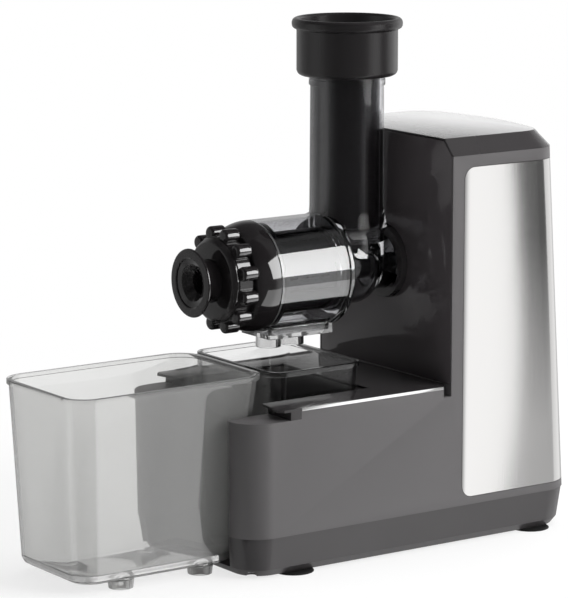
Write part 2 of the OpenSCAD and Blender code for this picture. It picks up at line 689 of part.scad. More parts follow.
module drum_body() color(smoke) difference() {
    union() {
        lie_back(0) rotate_extrude() polygon(concat(
            [[0, drum_y0], [drum_r, drum_y0], [drum_r, ring_y], [drum_r + 1.2, ring_y + 0.6],
             [drum_r + 1.2, ring_y + 4.4], [drum_r - 1, ring_y + 6], [feed_r, ring_y + 20],
             [feed_r, feed_y1]],
            [for (a = [10:10:60]) [feed_r - 18 + 18 * cos(a), feed_y1 + 18 * sin(a)]],
            [[spigot_r, feed_y1 + 16.5], [spigot_r, spigot_y1], [0, spigot_y1]]));
        translate([0, chute_y, drum_z])
            cylinder(h = chute_top_z - drum_z, r1 = chute_r + chute_draft, r2 = chute_r);
        translate([0, chute_y, drum_z]) sphere(r = chute_r + chute_draft + fit_gap);
        translate([0, chute_y, drum_z + 30])
            cylinder(h = 11, r1 = chute_r + chute_draft + 3, r2 = chute_r + chute_draft * 0.7);
        translate([0, chute_y, chute_top_z - 7]) cylinder(h = 5, r = chute_r + 1.2);
        for (a = [0, 120, 240]) lie_back(lug_y) rotate([0, 0, a]) intersection() {
            cylinder(h = lug_t, r = lug_r);
            translate([0, -4, 0]) cube([30, 8, lug_t]);
        }
        block([-outlet_hw, outlet_y0, outlet_z], [outlet_hw, outlet_y1, drum_z - 30]);
    }
    lie_back(0) rotate_extrude() polygon(concat(
        [[0, drum_y0 - 1], [bore_r, drum_y0 - 1], [bore_r, ring_y - 2],
         [strain_r + fit_gap, ring_y - 2], [strain_r + fit_gap, ring_y + 1],
         [feed_in, ring_y + 1], [feed_in, feed_y1]],
        [for (a = [10:10:90]) [feed_in - 14.5 + 14.5 * cos(a), feed_y1 + 14.5 * sin(a)]],
        [[0, feed_y1 + 14.5]]));
    bar(feed_y1, spigot_y1 + 1, hub_r + run_gap);
    bar(feed_y1 + 18, spigot_y1 + 1, spigot_r - 3);
    translate([0, chute_y, drum_z + 20]) cylinder(h = chute_top_z, r = chute_r - chute_wall);
    // juice drains through a slot into the outlet piece
    block([-outlet_hw + 4, outlet_y0 + 4, outlet_z - 1],
          [outlet_hw - 4, outlet_y1 - 4, drum_z - 30]);
}

outlet_hw = 17;
outlet_y0 = seam_y + 8;
outlet_y1 = seam_y + 62;
outlet_z = drum_z - drum_r - 2;
spout_r = 10;
spout_z = outlet_z - 12;
// Clear tray under the drum with two short spouts.
module outlet_spout() color(clear) difference() {
    union() {
        block([-outlet_hw - 3, outlet_y0 - 3, outlet_z - 3],
              [outlet_hw + 3, outlet_y1 + 3, outlet_z + 5]);
        for (y = [outlet_y0 + 9, outlet_y0 + 31]) translate([0, y, spout_z])
            cylinder(h = 12, r = spout_r);
    }
    block([-outlet_hw - 0.15, outlet_y0 - 0.15, outlet_z],
          [outlet_hw + 0.15, outlet_y1 + 0.15, outlet_z + 9]);
    for (y = [outlet_y0 + 9, outlet_y0 + 31]) translate([0, y, spout_z - 1])
        cylinder(h = 20, r = spout_r - 2);
    // room for the round belly of the drum
    bar(outlet_y0 - 4, outlet_y1 + 4, drum_r + 0.1);
}

module drum_seal() color([0.55, 0.55, 0.55]) lie_back(feed_y1 + 18.2) rotate_extrude() polygon(
    [[hub_r + 0.3, 0], [14, 0], [14, 3], [9.5, 3], [9, 6], [hub_r + 0.3, 6.5]]);

strain_y0 = seam_y + 5.5;
strain_y1 = ring_y + 0.7;
// Plastic cage of the strainer: six long windows between ribs and a locating flange.
module strainer_frame() color([0.16, 0.16, 0.17]) difference() {
    union() {
        bar(strain_y0, strain_y1, strain_r);
        bar(strain_y0, strain_y0 + 3, bore_r - fit_gap);
    }
    bar(strain_y0 - 1, strain_y1 + 1, strain_r - 2);
    for (a = [0:60:300]) lie_back(strain_y0 + 8, drum_z) rotate([0, 0, a])
        translate([20, -10, 0]) cube([20, 20, strain_y1 - strain_y0 - 14]);
}
module strainer_screen() color("silver") difference() {
    bar(strain_y0 + 0.5, strain_y1 - 0.5, strain_r - 2.1);
    bar(strain_y0 - 1, strain_y1 + 1, auger_r + 0.6);
    for (a = [0:30:330], y = [strain_y0 + 10:10:strain_y1 - 14]) lie_back(y) rotate([0, 0, a])
        translate([20, -0.8, 0]) cube([20, 1.6, 8]);
}

auger_y0 = seam_y + 2;
auger_y1 = feed_y1 - 2;
// Screw with one thick flight that runs from the feed opening to the nozzle.
module auger() color([0.12, 0.12, 0.12]) difference() {
    union() {
        lie_back(auger_y0) linear_extrude(height = auger_y1 - auger_y0, twist = 360 * auger_turns,
                                          slices = 70, convexity = 6, $fn = 24) flight_2d();
        bar(auger_y1 - eps, feed_y1 + 13, core_r - 3);
        bar(feed_y1 + 12, hub_y1, hub_r);
        lie_back(auger_y0 - 9) cylinder(h = 9 + eps, r1 = 4, r2 = core_r - 1);
    }
    lie_back(hex_y0 - 0.5) cylinder(h = 30, r = hex_r + 0.15, $fn = 6);
}
module flight_2d() {
    circle(core_r, $fn = 20);
    polygon(concat([for (a = [-60:60:60]) pol(core_r - 1, a)],
                   [for (a = [27:-18:-27]) pol(auger_r, a)]));
}

// ---------- front end ----------
cap_len = 19;
cap_r1 = 38.5;
neck_r = 29.6;
neck_y = seam_y - cap_len - 12;
nut_y0 = seam_y - cap_len - 14;         // front of the lugs
nut_y1 = seam_y - cap_len - 0.4;
module end_cap() color([0.1, 0.1, 0.1]) difference() {
    lie_back(0) rotate_extrude() polygon(concat(
        [[0, neck_y], [neck_r, neck_y], [neck_r, seam_y - cap_len]],
        [for (i = [6:-1:0]) let (d = cap_len * i / 6)
            [drum_r - (drum_r - cap_r1) * pow(d / cap_len, 2), seam_y - d]],
        [[bore_r - fit_gap, seam_y], [bore_r - fit_gap, seam_y + 5], [0, seam_y + 5]]));
    lie_back(0) rotate_extrude() polygon([[0, neck_y - 1], [18, neck_y - 1], [18, seam_y - 16],
        [auger_r + 0.8, seam_y - 1], [auger_r + 0.8, seam_y + 6], [0, seam_y + 6]]);
    lie_back(seam_y + 1.2) rotate_extrude() translate([bore_r - 2.6, 0]) square([5, 2.4]);
}
module end_cap_seal() color("darkred") lie_back(seam_y + 1.3) rotate_extrude()
    translate([bore_r - 2.5, 0]) square([2.4, 2.2]);

lug_n = 12;
// Hand nut with round grip lugs; its front lip holds the nozzle.
nut_r = 34.5;
grip_r = 5.8;
grip_at = 36.6;
module ring_nut() color(black) difference() {
    union() {
        lie_back(nut_y0) linear_extrude(nut_y1 - nut_y0) {
            circle(nut_r);
            for (i = [0:lug_n - 1]) rotate(360 / lug_n * (i + 0.5)) translate([grip_at, 0])
                circle(grip_r);
        }
        lie_back(0) rotate_extrude() polygon([[0, nut_y0 - 5], [nut_r - 4, nut_y0 - 5],
            [nut_r - 1, nut_y0 - 1.5], [nut_r - 1, nut_y0 + 1], [0, nut_y0 + 1]]);
    }
    bar(nut_y0 - 2, nut_y1 + 1, neck_r + fit_gap);
    bar(nut_y0 - 6, nut_y1, nozzle_r + 0.7);
}

disc_y0 = front_y - nozzle_fwd;
disc_r = 27;
nozzle_r = 16.5;
flange_y0 = nut_y0 - 1.7;
module pulp_nozzle() color(black) lie_back(0) rotate_extrude() polygon([[9, disc_y0 + 9],
    [15, disc_y0 + 2.2], [19, disc_y0 + 1.6], [20, disc_y0], [disc_r - 1, disc_y0],
    [disc_r, disc_y0 + 1], [disc_r, disc_y0 + 2], [disc_r - 1, disc_y0 + 3],
    [nozzle_r, disc_y0 + 3.6], [nozzle_r, flange_y0], [neck_r - 1, flange_y0],
    [neck_r - 1, neck_y - 1], [9, neck_y - 1]]);
module nozzle_seal() color([0.55, 0.55, 0.55]) lie_back(neck_y - 0.9) rotate_extrude()
    translate([19.5, 0]) square([6, 0.8]);

// ---------- pusher ----------
push_r = chute_r - chute_wall - 0.8;
push_z0 = drum_z + auger_r + 4;
cup_z0 = chute_top_z + fit_gap;
push_wall = 2.4;
lip_t = min(9, (overall_h - cup_z0) / 5);   // depth of the lip, which needs the cup's height
module pusher() color(black) translate([0, chute_y, 0]) rotate_extrude() polygon([[0, push_z0],
    [push_r - 3, push_z0], [push_r, push_z0 + 3], [push_r, cup_z0], [cup_r - 5, cup_z0],
    [cup_r - 1.5, cup_z0 + lip_t / 6], [cup_r, cup_z0 + lip_t / 2], [cup_r, overall_h - lip_t],
    [cup_lip_r - 1.5, overall_h - lip_t * 0.9], [cup_lip_r, overall_h - lip_t * 0.7],
    [cup_lip_r, overall_h - lip_t / 4], [cup_lip_r - 2, overall_h], [cup_r - 1, overall_h],
    [cup_r - push_wall, overall_h - lip_t / 4], [cup_r - push_wall - 0.4, cup_z0 + lip_t * 0.6],
    [push_r - push_wall + 0.2, cup_z0 + lip_t / 3], [push_r - push_wall, push_z0 + 4],
    [0, push_z0 + 3]]);

// ---------- containers ----------
function tub_pts(hw_, y0, y1, r) = round_rect(-hw_, hw_, y0, y1, r);
tub_hw = chan_hw;                       // half width over the rims
tub_foot_h = floor_z + fit_gap;         // its bottom rests on the floor between the arms
// A tapered tub: rim and foot outlines, rounded foot, even wall and a beaded rim.
module tub(w1, ya1, yb1, w0, ya0, yb0, z0, r, zf) {
    difference() {
        union() {
            hull() {
                slab(z0, tub_pts(w0 - 5, ya0 + 5, yb0 - 5, r - 5));
                slab(z0 + 2, tub_pts(w0 - 1.8, ya0 + 1.8, yb0 - 1.8, r - 3));
                slab(z0 + 6, tub_pts(w0, ya0, yb0, r - 2));
                slab(rim_z - eps, tub_pts(w1, ya1, yb1, r));
            }
            translate([0, 0, rim_z - 3.5]) linear_extrude(3.5)
                polygon(tub_pts(w1 + 1.5, ya1 - 1.5, yb1 + 1.5, r + 1.5));
        }
        hull() {
            slab(zf, tub_pts(w0 - tub_wall - 4, ya0 + tub_wall + 4, yb0 - tub_wall - 4, r - 6));
            slab(zf + 5, tub_pts(w0 - tub_wall, ya0 + tub_wall, yb0 - tub_wall, r - 4));
            slab(rim_z + 1, tub_pts(w1 - tub_wall, ya1 + tub_wall, yb1 - tub_wall, r - 2));
        }
    }
}

tub_in = 1.5;                           // bead that stands out round each rim
tub_draft = 8;                          // how far the sides stand in at the foot
pulp_slope = 22;                        // how far its rear wall slopes in
pulp_foot_r = 10.5;
module pulp_container() color(clear) {
    tub(tub_hw - tub_in, pulp_y0 + tub_in, pulp_y1 - tub_in, tub_hw - tub_draft, pulp_y0 + tub_draft,
        pulp_y1 - pulp_slope, tub_foot_h, tub_r, tub_foot_h + 3);
    for (s = [-1, 1], y = [pulp_y0 + pulp_slope + 28, pulp_y1 - pulp_slope - 32])
        translate([s * (tub_hw - tub_draft - pulp_foot_r), y, fit_gap]) difference() {
            cylinder(h = tub_foot_h + 1, r1 = pulp_foot_r - 1, r2 = pulp_foot_r);
            translate([0, 0, -1]) cylinder(h = tub_foot_h, r = pulp_foot_r - 1 - tub_wall);
        }
}

module juice_container() color(clear) {
    tub(tub_hw - tub_in, juice_y0 + tub_in, juice_y1 - tub_in, tub_hw - 9, juice_y0 + 6,
        juice_y1 - 6, floor_z + 3, 14, floor_z + 6);
    for (x = [-34, 34], y = [juice_y0 + 24, juice_y1 - 24]) translate([x, y, floor_z + fit_gap])
        cylinder(h = 3, r = 6);
}

main_housing();
top_cover();
front_panel();
steel_wrap();
deck_plate();
deck_trim();
bottom_tray();
suction_feet();
tray_screws();
drum_socket();
gearbox_front_plate();
gearbox_rear_plate();
gearbox_posts();
gearbox_screws();
output_bearings();
drive_shaft();
output_gear();
idler_axle();
idler_gear();
motor_can();
motor_stator();
motor_windings();
motor_bearings();
motor_screws();
rotor_shaft();
rotor_core();
motor_fan();
switch_body();
switch_rocker();
cord_gland();
drum_body();
outlet_spout();
drum_seal();
strainer_frame();
strainer_screen();
auger();
end_cap();
end_cap_seal();
ring_nut();
pulp_nozzle();
nozzle_seal();
pusher();
juice_container();
pulp_container();
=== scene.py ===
"""Horizontal slow juicer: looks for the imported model."""
import math

import bpy
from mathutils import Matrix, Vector


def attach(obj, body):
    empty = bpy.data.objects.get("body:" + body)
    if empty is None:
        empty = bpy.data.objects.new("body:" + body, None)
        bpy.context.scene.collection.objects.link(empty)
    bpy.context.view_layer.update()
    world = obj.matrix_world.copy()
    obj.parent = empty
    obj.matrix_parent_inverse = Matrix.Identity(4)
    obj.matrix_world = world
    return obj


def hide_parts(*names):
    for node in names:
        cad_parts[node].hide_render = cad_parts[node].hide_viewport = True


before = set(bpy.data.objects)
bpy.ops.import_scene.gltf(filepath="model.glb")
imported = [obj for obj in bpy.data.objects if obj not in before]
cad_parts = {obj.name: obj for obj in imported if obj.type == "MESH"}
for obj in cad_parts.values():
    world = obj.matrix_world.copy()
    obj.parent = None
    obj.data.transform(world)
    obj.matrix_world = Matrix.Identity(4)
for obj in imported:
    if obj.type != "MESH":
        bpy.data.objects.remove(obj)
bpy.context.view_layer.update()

# ---------------------------------------------------------------------------------------
# Camera. It stands at the front right corner, a little above the machine, and looks
# at it through a long lens, so that the verticals stay nearly parallel.
AZIMUTH = math.radians(55.2)
ELEVATION = math.radians(10.5)
CAMERA_PLACE = Vector((2.0836, -1.4530, 0.6685))
LENS, FILM = 196.3, 36.0    # in millimetres
back = Vector((math.sin(AZIMUTH) * math.cos(ELEVATION),
               -math.cos(AZIMUTH) * math.cos(ELEVATION), math.sin(ELEVATION)))
scene = bpy.context.scene
camera = bpy.data.objects.new("camera", bpy.data.cameras.new("camera"))
camera.data.lens = LENS
camera.data.sensor_width = FILM
camera.data.clip_end = 60.0
camera.rotation_mode = "QUATERNION"
camera.rotation_quaternion = (-back).to_track_quat("-Z", "Y")
camera.location = CAMERA_PLACE
scene.collection.objects.link(camera)
scene.camera = camera
scene.view_settings.view_transform = "Standard"


# ---------------------------------------------------------------------------------------
# Surroundings. Rays that mirror the room see a studio: dark ceiling, a white wall behind
# on the left, a white screen on the right and dark gaps between them.
def linear(hex_colour):
    """Linear RGBA of an sRGB colour written as six hex digits."""
    values = [int(hex_colour[i:i + 2], 16) / 255 for i in (0, 2, 4)]
    return [v / 12.92 if v <= 0.04045 else ((v + 0.055) / 1.055) ** 2.4 for v in values] + [1.0]


def add_node(tree, kind, inputs=None, **settings):
    """Adds a node, gives it its settings, and fills its inputs with values or links."""
    node = tree.nodes.new(kind)
    for name, value in settings.items():
        setattr(node, name, value)
    for name, value in (inputs or {}).items():
        if isinstance(value, bpy.types.NodeSocket):
            tree.links.new(value, node.inputs[name])
        else:
            node.inputs[name].default_value = value
    return node


# brightness of the mirrored walls by direction, in degrees from +X towards +Y
ROOM = [(-180, 0.6), (-160, 0.45), (-135, 0.40), (-122, 0.7), (-102, 0.7), (-85, 0.3),
        (-60, 0.14), (10, 0.2), (27, 1.42), (50, 1.42), (62, 0.9), (105, 1.1), (125, 0.6),
        (160, 0.45)]
world = bpy.data.worlds.new("studio")
scene.world = world
world.use_nodes = True
tree = world.node_tree
tree.nodes.clear()
where = add_node(tree, "ShaderNodeTexCoord")
axes = add_node(tree, "ShaderNodeSeparateXYZ", {0: where.outputs["Generated"]})
angle = add_node(tree, "ShaderNodeMath", {0: axes.outputs["Y"], 1: axes.outputs["X"]},
                 operation="ARCTAN2")
turn = add_node(tree, "ShaderNodeMapRange", {"Value": angle.outputs[0], "From Min": -math.pi,
                                             "From Max": math.pi})
walls = add_node(tree, "ShaderNodeValToRGB", {0: turn.outputs[0]})
walls.color_ramp.interpolation = "EASE"
for i, (degrees, level) in enumerate(ROOM):
    place = (degrees + 180) / 360
    stop = walls.color_ramp.elements[i] if i < 2 else walls.color_ramp.elements.new(place)
    stop.position = place
    stop.color = (level, level, level, 1)
# the walls darken into the ceiling between 17 and 38 degrees up
ceiling = add_node(tree, "ShaderNodeMapRange", {"Value": axes.outputs["Z"], "From Min": 0.3,
                                                "From Max": 0.62, "To Min": 1.0, "To Max": 0.22})
room = add_node(tree, "ShaderNodeVectorMath", {0: walls.outputs[0], "Scale": ceiling.outputs[0]},
                operation="SCALE")
path = add_node(tree, "ShaderNodeLightPath")
# matt surfaces get little light from the front left, more from behind and from the right
side = add_node(tree, "ShaderNodeMapRange", {"Value": axes.outputs["Y"], "From Min": -0.8,
                                             "From Max": 0.2, "To Min": 0.10, "To Max": 0.62})
soft = add_node(tree, "ShaderNodeBackground", {"Color": linear("FFFFFF"),
                                               "Strength": side.outputs[0]})
mirrored = add_node(tree, "ShaderNodeBackground", {"Color": room.outputs[0], "Strength": 1.0})
white = add_node(tree, "ShaderNodeBackground", {"Color": linear("FFFFFF"), "Strength": 1.0})
straight = add_node(tree, "ShaderNodeMath", {0: path.outputs["Is Camera Ray"],
                                             1: path.outputs["Is Transmission Ray"]},
                    operation="MAXIMUM")
# a ray that a mirror has sent back sees the room, also where it comes through clear plastic
bounced = add_node(tree, "ShaderNodeMath", {0: path.outputs["Glossy Depth"], 1: 0.5},
                   operation="GREATER_THAN")
seen = add_node(tree, "ShaderNodeMath", {0: straight.outputs[0], 1: bounced.outputs[0]},
                operation="SUBTRACT", use_clamp=True)
unseen = add_node(tree, "ShaderNodeMixShader", {0: bounced.outputs[0],
                                                1: soft.outputs[0], 2: mirrored.outputs[0]})
both = add_node(tree, "ShaderNodeMixShader", {0: seen.outputs[0], 1: unseen.outputs[0],
                                              2: white.outputs[0]})
add_node(tree, "ShaderNodeOutputWorld", {"Surface": both.outputs[0]})

# ---------------------------------------------------------------------------------------
# Floor. A white table that runs on behind and fades into the white wall, with the soft
# shadow of the machine close to it. Its top lies just under the feet.
FLOOR_SIZE, FLOOR_HEIGHT = 30, -0.0002
bpy.ops.object.select_all(action="DESELECT")
bpy.ops.mesh.primitive_plane_add(size=FLOOR_SIZE, location=(0, 0, FLOOR_HEIGHT))
floor = bpy.context.object
floor.name = "floor"
floor.visible_glossy = False
table_top = bpy.data.materials.new("white_table")
table_top.use_nodes = True
tree = table_top.node_tree
tree.nodes.clear()
path = add_node(tree, "ShaderNodeLightPath")
seen = add_node(tree, "ShaderNodeMath", {0: path.outputs["Is Camera Ray"],
                                         1: path.outputs["Is Transmission Ray"]},
                operation="MAXIMUM")
place = add_node(tree, "ShaderNodeTexCoord")
# the paper shows most within 0.25 m of the machine, and has faded out at 0.9 m
far = add_node(tree, "ShaderNodeVectorMath", {0: place.outputs["Object"]}, operation="LENGTH")
fade = add_node(tree, "ShaderNodeMapRange", {"Value": far.outputs["Value"], "From Min": 0.25,
                                             "From Max": 0.9, "To Min": 0.74, "To Max": 1.0})
share = add_node(tree, "ShaderNodeMath", {0: seen.outputs[0], 1: fade.outputs[0]},
                 operation="MULTIPLY")
paper = add_node(tree, "ShaderNodeBsdfDiffuse", {"Color": linear("F4F4F4")})
glow = add_node(tree, "ShaderNodeEmission", {"Color": linear("FFFFFF"), "Strength": 1.0})
mixed = add_node(tree, "ShaderNodeMixShader", {0: share.outputs[0], 1: paper.outputs[0],
                                               2: glow.outputs[0]})
# no mirror image shows the floor, nor does one that comes back through clear plastic
bounced = add_node(tree, "ShaderNodeMath", {0: path.outputs["Glossy Depth"], 1: 0.5},
                   operation="GREATER_THAN")
nothing = add_node(tree, "ShaderNodeBsdfTransparent")
shown = add_node(tree, "ShaderNodeMixShader", {0: bounced.outputs[0], 1: mixed.outputs[0],
                                               2: nothing.outputs[0]})
add_node(tree, "ShaderNodeOutputMaterial", {"Surface": shown.outputs[0]})
floor.data.materials.append(table_top)


# ---------------------------------------------------------------------------------------
# Lamps. Three large soft lamps light the matt surfaces and are mirrored in nothing. Of the
# three softboxes, which light nothing matt, two are mirrored in the round plastic of the
# press alone, from behind and from low on the right, and one in the cap alone.
def lamp(name, place, aim, width, height, watts):
    """A rectangular lamp at a place, turned towards another."""
    data = bpy.data.lights.new(name, "AREA")
    data.shape = "RECTANGLE"
    data.size = width
    data.size_y = height
    data.energy = watts
    made = bpy.data.objects.new(name, data)
    made.location = place
    made.rotation_mode = "QUATERNION"
    made.rotation_quaternion = (Vector(aim) - Vector(place)).to_track_quat("-Z", "Y")
    made.visible_camera = False
    made.visible_transmission = False
    scene.collection.objects.link(made)
    return made


lamp("key", (2.0, 1.5, 1.3), (0, 0, 0.15), 1.6, 1.6, 72).visible_glossy = False
lamp("fill", (-1.2, -2.6, 1.6), (0, 0, 0.15), 1.8, 1.8, 6).visible_glossy = False
lamp("top", (0.0, 0.6, 2.6), (0, 0, 0), 1.8, 1.8, 34).visible_glossy = False
DRUM_MIDDLE = Vector((0, -0.006, 0.22))
softbox = lamp("softbox", DRUM_MIDDLE + Vector((0.75, 0.57, 0.35)), DRUM_MIDDLE, 1.3, 0.70, 36)
low_box = lamp("low_softbox", (0.38, 0.31, 0.004), (0.38, 0.31, 1), 0.48, 0.8, 3.4)
cap_box = lamp("cap_softbox", (-1.05, 0.88, 0.58), (0, 0.15, 0.33), 1.2, 0.5, 3.5)
cap_box.visible_diffuse = False
cap_pieces = bpy.data.collections.new("cap_pieces")
cap_box.light_linking.receiver_collection = cap_pieces
press_pieces = bpy.data.collections.new("press_pieces")
for box in (softbox, low_box):
    box.visible_diffuse = False
    box.light_linking.receiver_collection = press_pieces

# ---------------------------------------------------------------------------------------
# Card. A grey card beside the tower, paler lower down, is mirrored in the rear half of its
# steel side. Only mirror images show it.
CARD_SIZE = (1, 0.42, 0.9)
CARD_MIDDLE = (0.26, 0.521, 0.15)
CARD_EDGE = (0.26, 0.295, 0.13)
CARD_TILT = -0.075          # radians, about its edge beside the tower
bpy.ops.object.select_all(action="DESELECT")
bpy.ops.mesh.primitive_plane_add(size=1, rotation=(0, math.pi / 2, 0))
card = bpy.context.object
card.name = "grey_card"
bpy.ops.object.transform_apply(location=False, rotation=True, scale=False)
bpy.ops.object.mode_set(mode="EDIT")
bpy.ops.mesh.select_all(action="SELECT")
bpy.ops.transform.resize(value=CARD_SIZE, center_override=(0, 0, 0))
bpy.ops.transform.translate(value=CARD_MIDDLE)
bpy.ops.transform.rotate(value=CARD_TILT, orient_axis="X", center_override=CARD_EDGE)
bpy.ops.object.mode_set(mode="OBJECT")
grey_card = bpy.data.materials.new("grey_card")
grey_card.use_nodes = True
tree = grey_card.node_tree
tree.nodes.clear()
place = add_node(tree, "ShaderNodeTexCoord")
axes = add_node(tree, "ShaderNodeSeparateXYZ", {0: place.outputs["Object"]})
# height above the table, in metres, to its brightness
tone = add_node(tree, "ShaderNodeMapRange", {"Value": axes.outputs["Z"], "From Min": -0.02,
                                             "From Max": 0.24, "To Min": 0.58, "To Max": 0.13})
glow = add_node(tree, "ShaderNodeEmission", {"Strength": tone.outputs[0]})
add_node(tree, "ShaderNodeOutputMaterial", {"Surface": glow.outputs[0]})
card.data.materials.append(grey_card)
for ray in ("camera", "diffuse", "transmission", "shadow", "volume_scatter"):
    setattr(card, "visible_" + ray, False)

# ---------------------------------------------------------------------------------------
# Housing of tower and base, with the cap on top. Injection moulded ABS with a fine
# spark-eroded texture, which looks satin dark grey and gets paler along the light.
def new_material(name):
    """An empty material with its tree and its principled shader."""
    material = bpy.data.materials.new(name)
    material.use_nodes = True
    nodes = material.node_tree.nodes
    return material, material.node_tree, nodes["Principled BSDF"]


housing_abs, tree, shader = new_material("moulded_abs_satin_grey")
place = add_node(tree, "ShaderNodeTexCoord")
# mould texture of 0.5 mm, drawn a little coarser than the real 0.2 mm, and faint clouds
# of 70 mm where the melt cooled unevenly
grain = add_node(tree, "ShaderNodeTexNoise", {"Vector": place.outputs["Object"], "Scale": 2000.0,
                                              "Detail": 2.0})
cloud = add_node(tree, "ShaderNodeTexNoise", {"Vector": place.outputs["Object"], "Scale": 14.0,
                                              "Detail": 3.0})
tone = add_node(tree, "ShaderNodeValToRGB", {0: cloud.outputs["Fac"]})
tone.color_ramp.elements[0].color = linear("4E4C4D")
tone.color_ramp.elements[1].color = linear("565455")
sheen = add_node(tree, "ShaderNodeMapRange", {"Value": cloud.outputs["Fac"], "To Min": 0.36,
                                              "To Max": 0.46})
relief = add_node(tree, "ShaderNodeBump", {"Height": grain.outputs["Fac"], "Strength": 0.12,
                                           "Distance": 0.0002})
tree.links.new(tone.outputs[0], shader.inputs["Base Color"])
tree.links.new(sheen.outputs[0], shader.inputs["Roughness"])
tree.links.new(relief.outputs[0], shader.inputs["Normal"])


def pick(piece):
    """Makes a piece the one that operators and modifiers work on."""
    bpy.ops.object.select_all(action="DESELECT")
    piece.select_set(True)
    bpy.context.view_layer.objects.active = piece


def dress(piece, node, body, material, sharp=30):
    """Smooths a modelled piece, gives it its material and puts it in place of the CAD one."""
    pick(piece)
    bpy.ops.object.shade_smooth_by_angle(angle=math.radians(sharp))
    piece.data.materials.clear()
    piece.data.materials.append(material)
    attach(piece, body)
    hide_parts(node)
    return piece


def rounded(node, body, material, width, steps=3, sharp=30):
    """A copy of a CAD piece with its triangles merged and its edges rounded."""
    piece = bpy.data.objects.new(node + "_shell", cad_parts[node].data.copy())
    scene.collection.objects.link(piece)
    pick(piece)
    bpy.ops.object.mode_set(mode="EDIT")
    bpy.ops.mesh.select_all(action="SELECT")
    bpy.ops.mesh.remove_doubles(threshold=0.00001)
    bpy.ops.mesh.dissolve_limited(angle_limit=math.radians(0.8))
    bpy.ops.object.mode_set(mode="OBJECT")
    bevel = piece.modifiers.new("rounding", "BEVEL")
    bevel.width = width
    bevel.segments = steps
    bevel.limit_method = "ANGLE"
    bevel.angle_limit = math.radians(sharp)
    bevel.harden_normals = False
    bpy.ops.object.modifier_apply(modifier=bevel.name)
    return dress(piece, node, body, material, sharp)


rounded("main_housing", "root", housing_abs, 0.0006)

# the cap has the same grain, a shade darker and polished a little finer
cap_abs = housing_abs.copy()
cap_abs.name = "moulded_abs_satin_cap"
tone = [node for node in cap_abs.node_tree.nodes if node.type == "VALTORGB"][0]
tone.color_ramp.elements[0].color = linear("2F2D2E")
tone.color_ramp.elements[1].color = linear("363435")
sheen = [node for node in cap_abs.node_tree.nodes if node.type == "MAP_RANGE"][0]
sheen.inputs["To Min"].default_value = 0.24
sheen.inputs["To Max"].default_value = 0.30
cap_pieces.objects.link(rounded("top_cover", "root", cap_abs, 0.0012, steps=4))

# ---------------------------------------------------------------------------------------
# Front panel and deck. High-gloss black ABS, moulded against a polished tool: it mirrors
# the drum, with the faint waviness of a moulded skin.
gloss_abs, tree, shader = new_material("moulded_abs_gloss_black")
place = add_node(tree, "ShaderNodeTexCoord")
# waves of about 33 mm in the skin, and a haze of handling marks of 17 mm
wave = add_node(tree, "ShaderNodeTexNoise", {"Vector": place.outputs["Object"], "Scale": 30.0,
                                             "Detail": 1.0})
relief = add_node(tree, "ShaderNodeBump", {"Height": wave.outputs["Fac"], "Strength": 0.04,
                                           "Distance": 0.001})
haze = add_node(tree, "ShaderNodeTexNoise", {"Vector": place.outputs["Object"], "Scale": 60.0,
                                             "Detail": 4.0})
polish = add_node(tree, "ShaderNodeMapRange", {"Value": haze.outputs["Fac"], "To Min": 0.04,
                                               "To Max": 0.09})
shader.inputs["Base Color"].default_value = linear("1B191A")
tree.links.new(polish.outputs[0], shader.inputs["Roughness"])
tree.links.new(relief.outputs[0], shader.inputs["Normal"])

# deck and panel are a shade paler, a painted sheen: their base colour is raised in place of the
# faint room light that the real gloss mirrors, and their mirror images are weaker
deck_painted_sheen = gloss_abs.copy()
deck_painted_sheen.name = "moulded_abs_gloss_deck_painted_sheen"
shader = deck_painted_sheen.node_tree.nodes["Principled BSDF"]
shader.inputs["Base Color"].default_value = linear("302E2F")
shader.inputs["Specular IOR Level"].default_value = 0.3
panel_painted_sheen = deck_painted_sheen.copy()
panel_painted_sheen.name = "moulded_abs_gloss_panel_painted_sheen"
shader = panel_painted_sheen.node_tree.nodes["Principled BSDF"]
# the panel's base colour is paler still, more painted sheen
shader.inputs["Base Color"].default_value = linear("494547")

rounded("front_panel", "root", panel_painted_sheen, 0.0008)
rounded("deck_plate", "root", deck_painted_sheen, 0.0004)
rounded("drum_socket", "root", deck_painted_sheen, 0.0004)

# ---------------------------------------------------------------------------------------
# Stainless sheet, bent round the tower: AISI 304, ground upwards, so its grain runs up and
# spreads what it mirrors sideways.
stainless, tree, shader = new_material("stainless_sheet_brushed")
place = add_node(tree, "ShaderNodeTexCoord")
along = add_node(tree, "ShaderNodeMapping", {"Vector": place.outputs["Object"],
                                             "Scale": (1800.0, 1800.0, 12.0)})
# grinding marks of 80 mm by 0.6 mm: real ones lie about 0.05 mm apart, too fine to show
marks = add_node(tree, "ShaderNodeTexNoise", {"Vector": along.outputs[0], "Scale": 1.0,
                                              "Detail": 3.0})
relief = add_node(tree, "ShaderNodeBump", {"Height": marks.outputs["Fac"], "Strength": 0.06,
                                           "Distance": 0.0002})
polish = add_node(tree, "ShaderNodeMapRange", {"Value": marks.outputs["Fac"], "To Min": 0.12,
                                               "To Max": 0.18})
shader.inputs["Base Color"].default_value = linear("D2D1D0")
shader.inputs["Metallic"].default_value = 1.0
tree.links.new(polish.outputs[0], shader.inputs["Roughness"])
tree.links.new(relief.outputs[0], shader.inputs["Normal"])

rounded("steel_wrap", "root", stainless, 0.0003, steps=2)

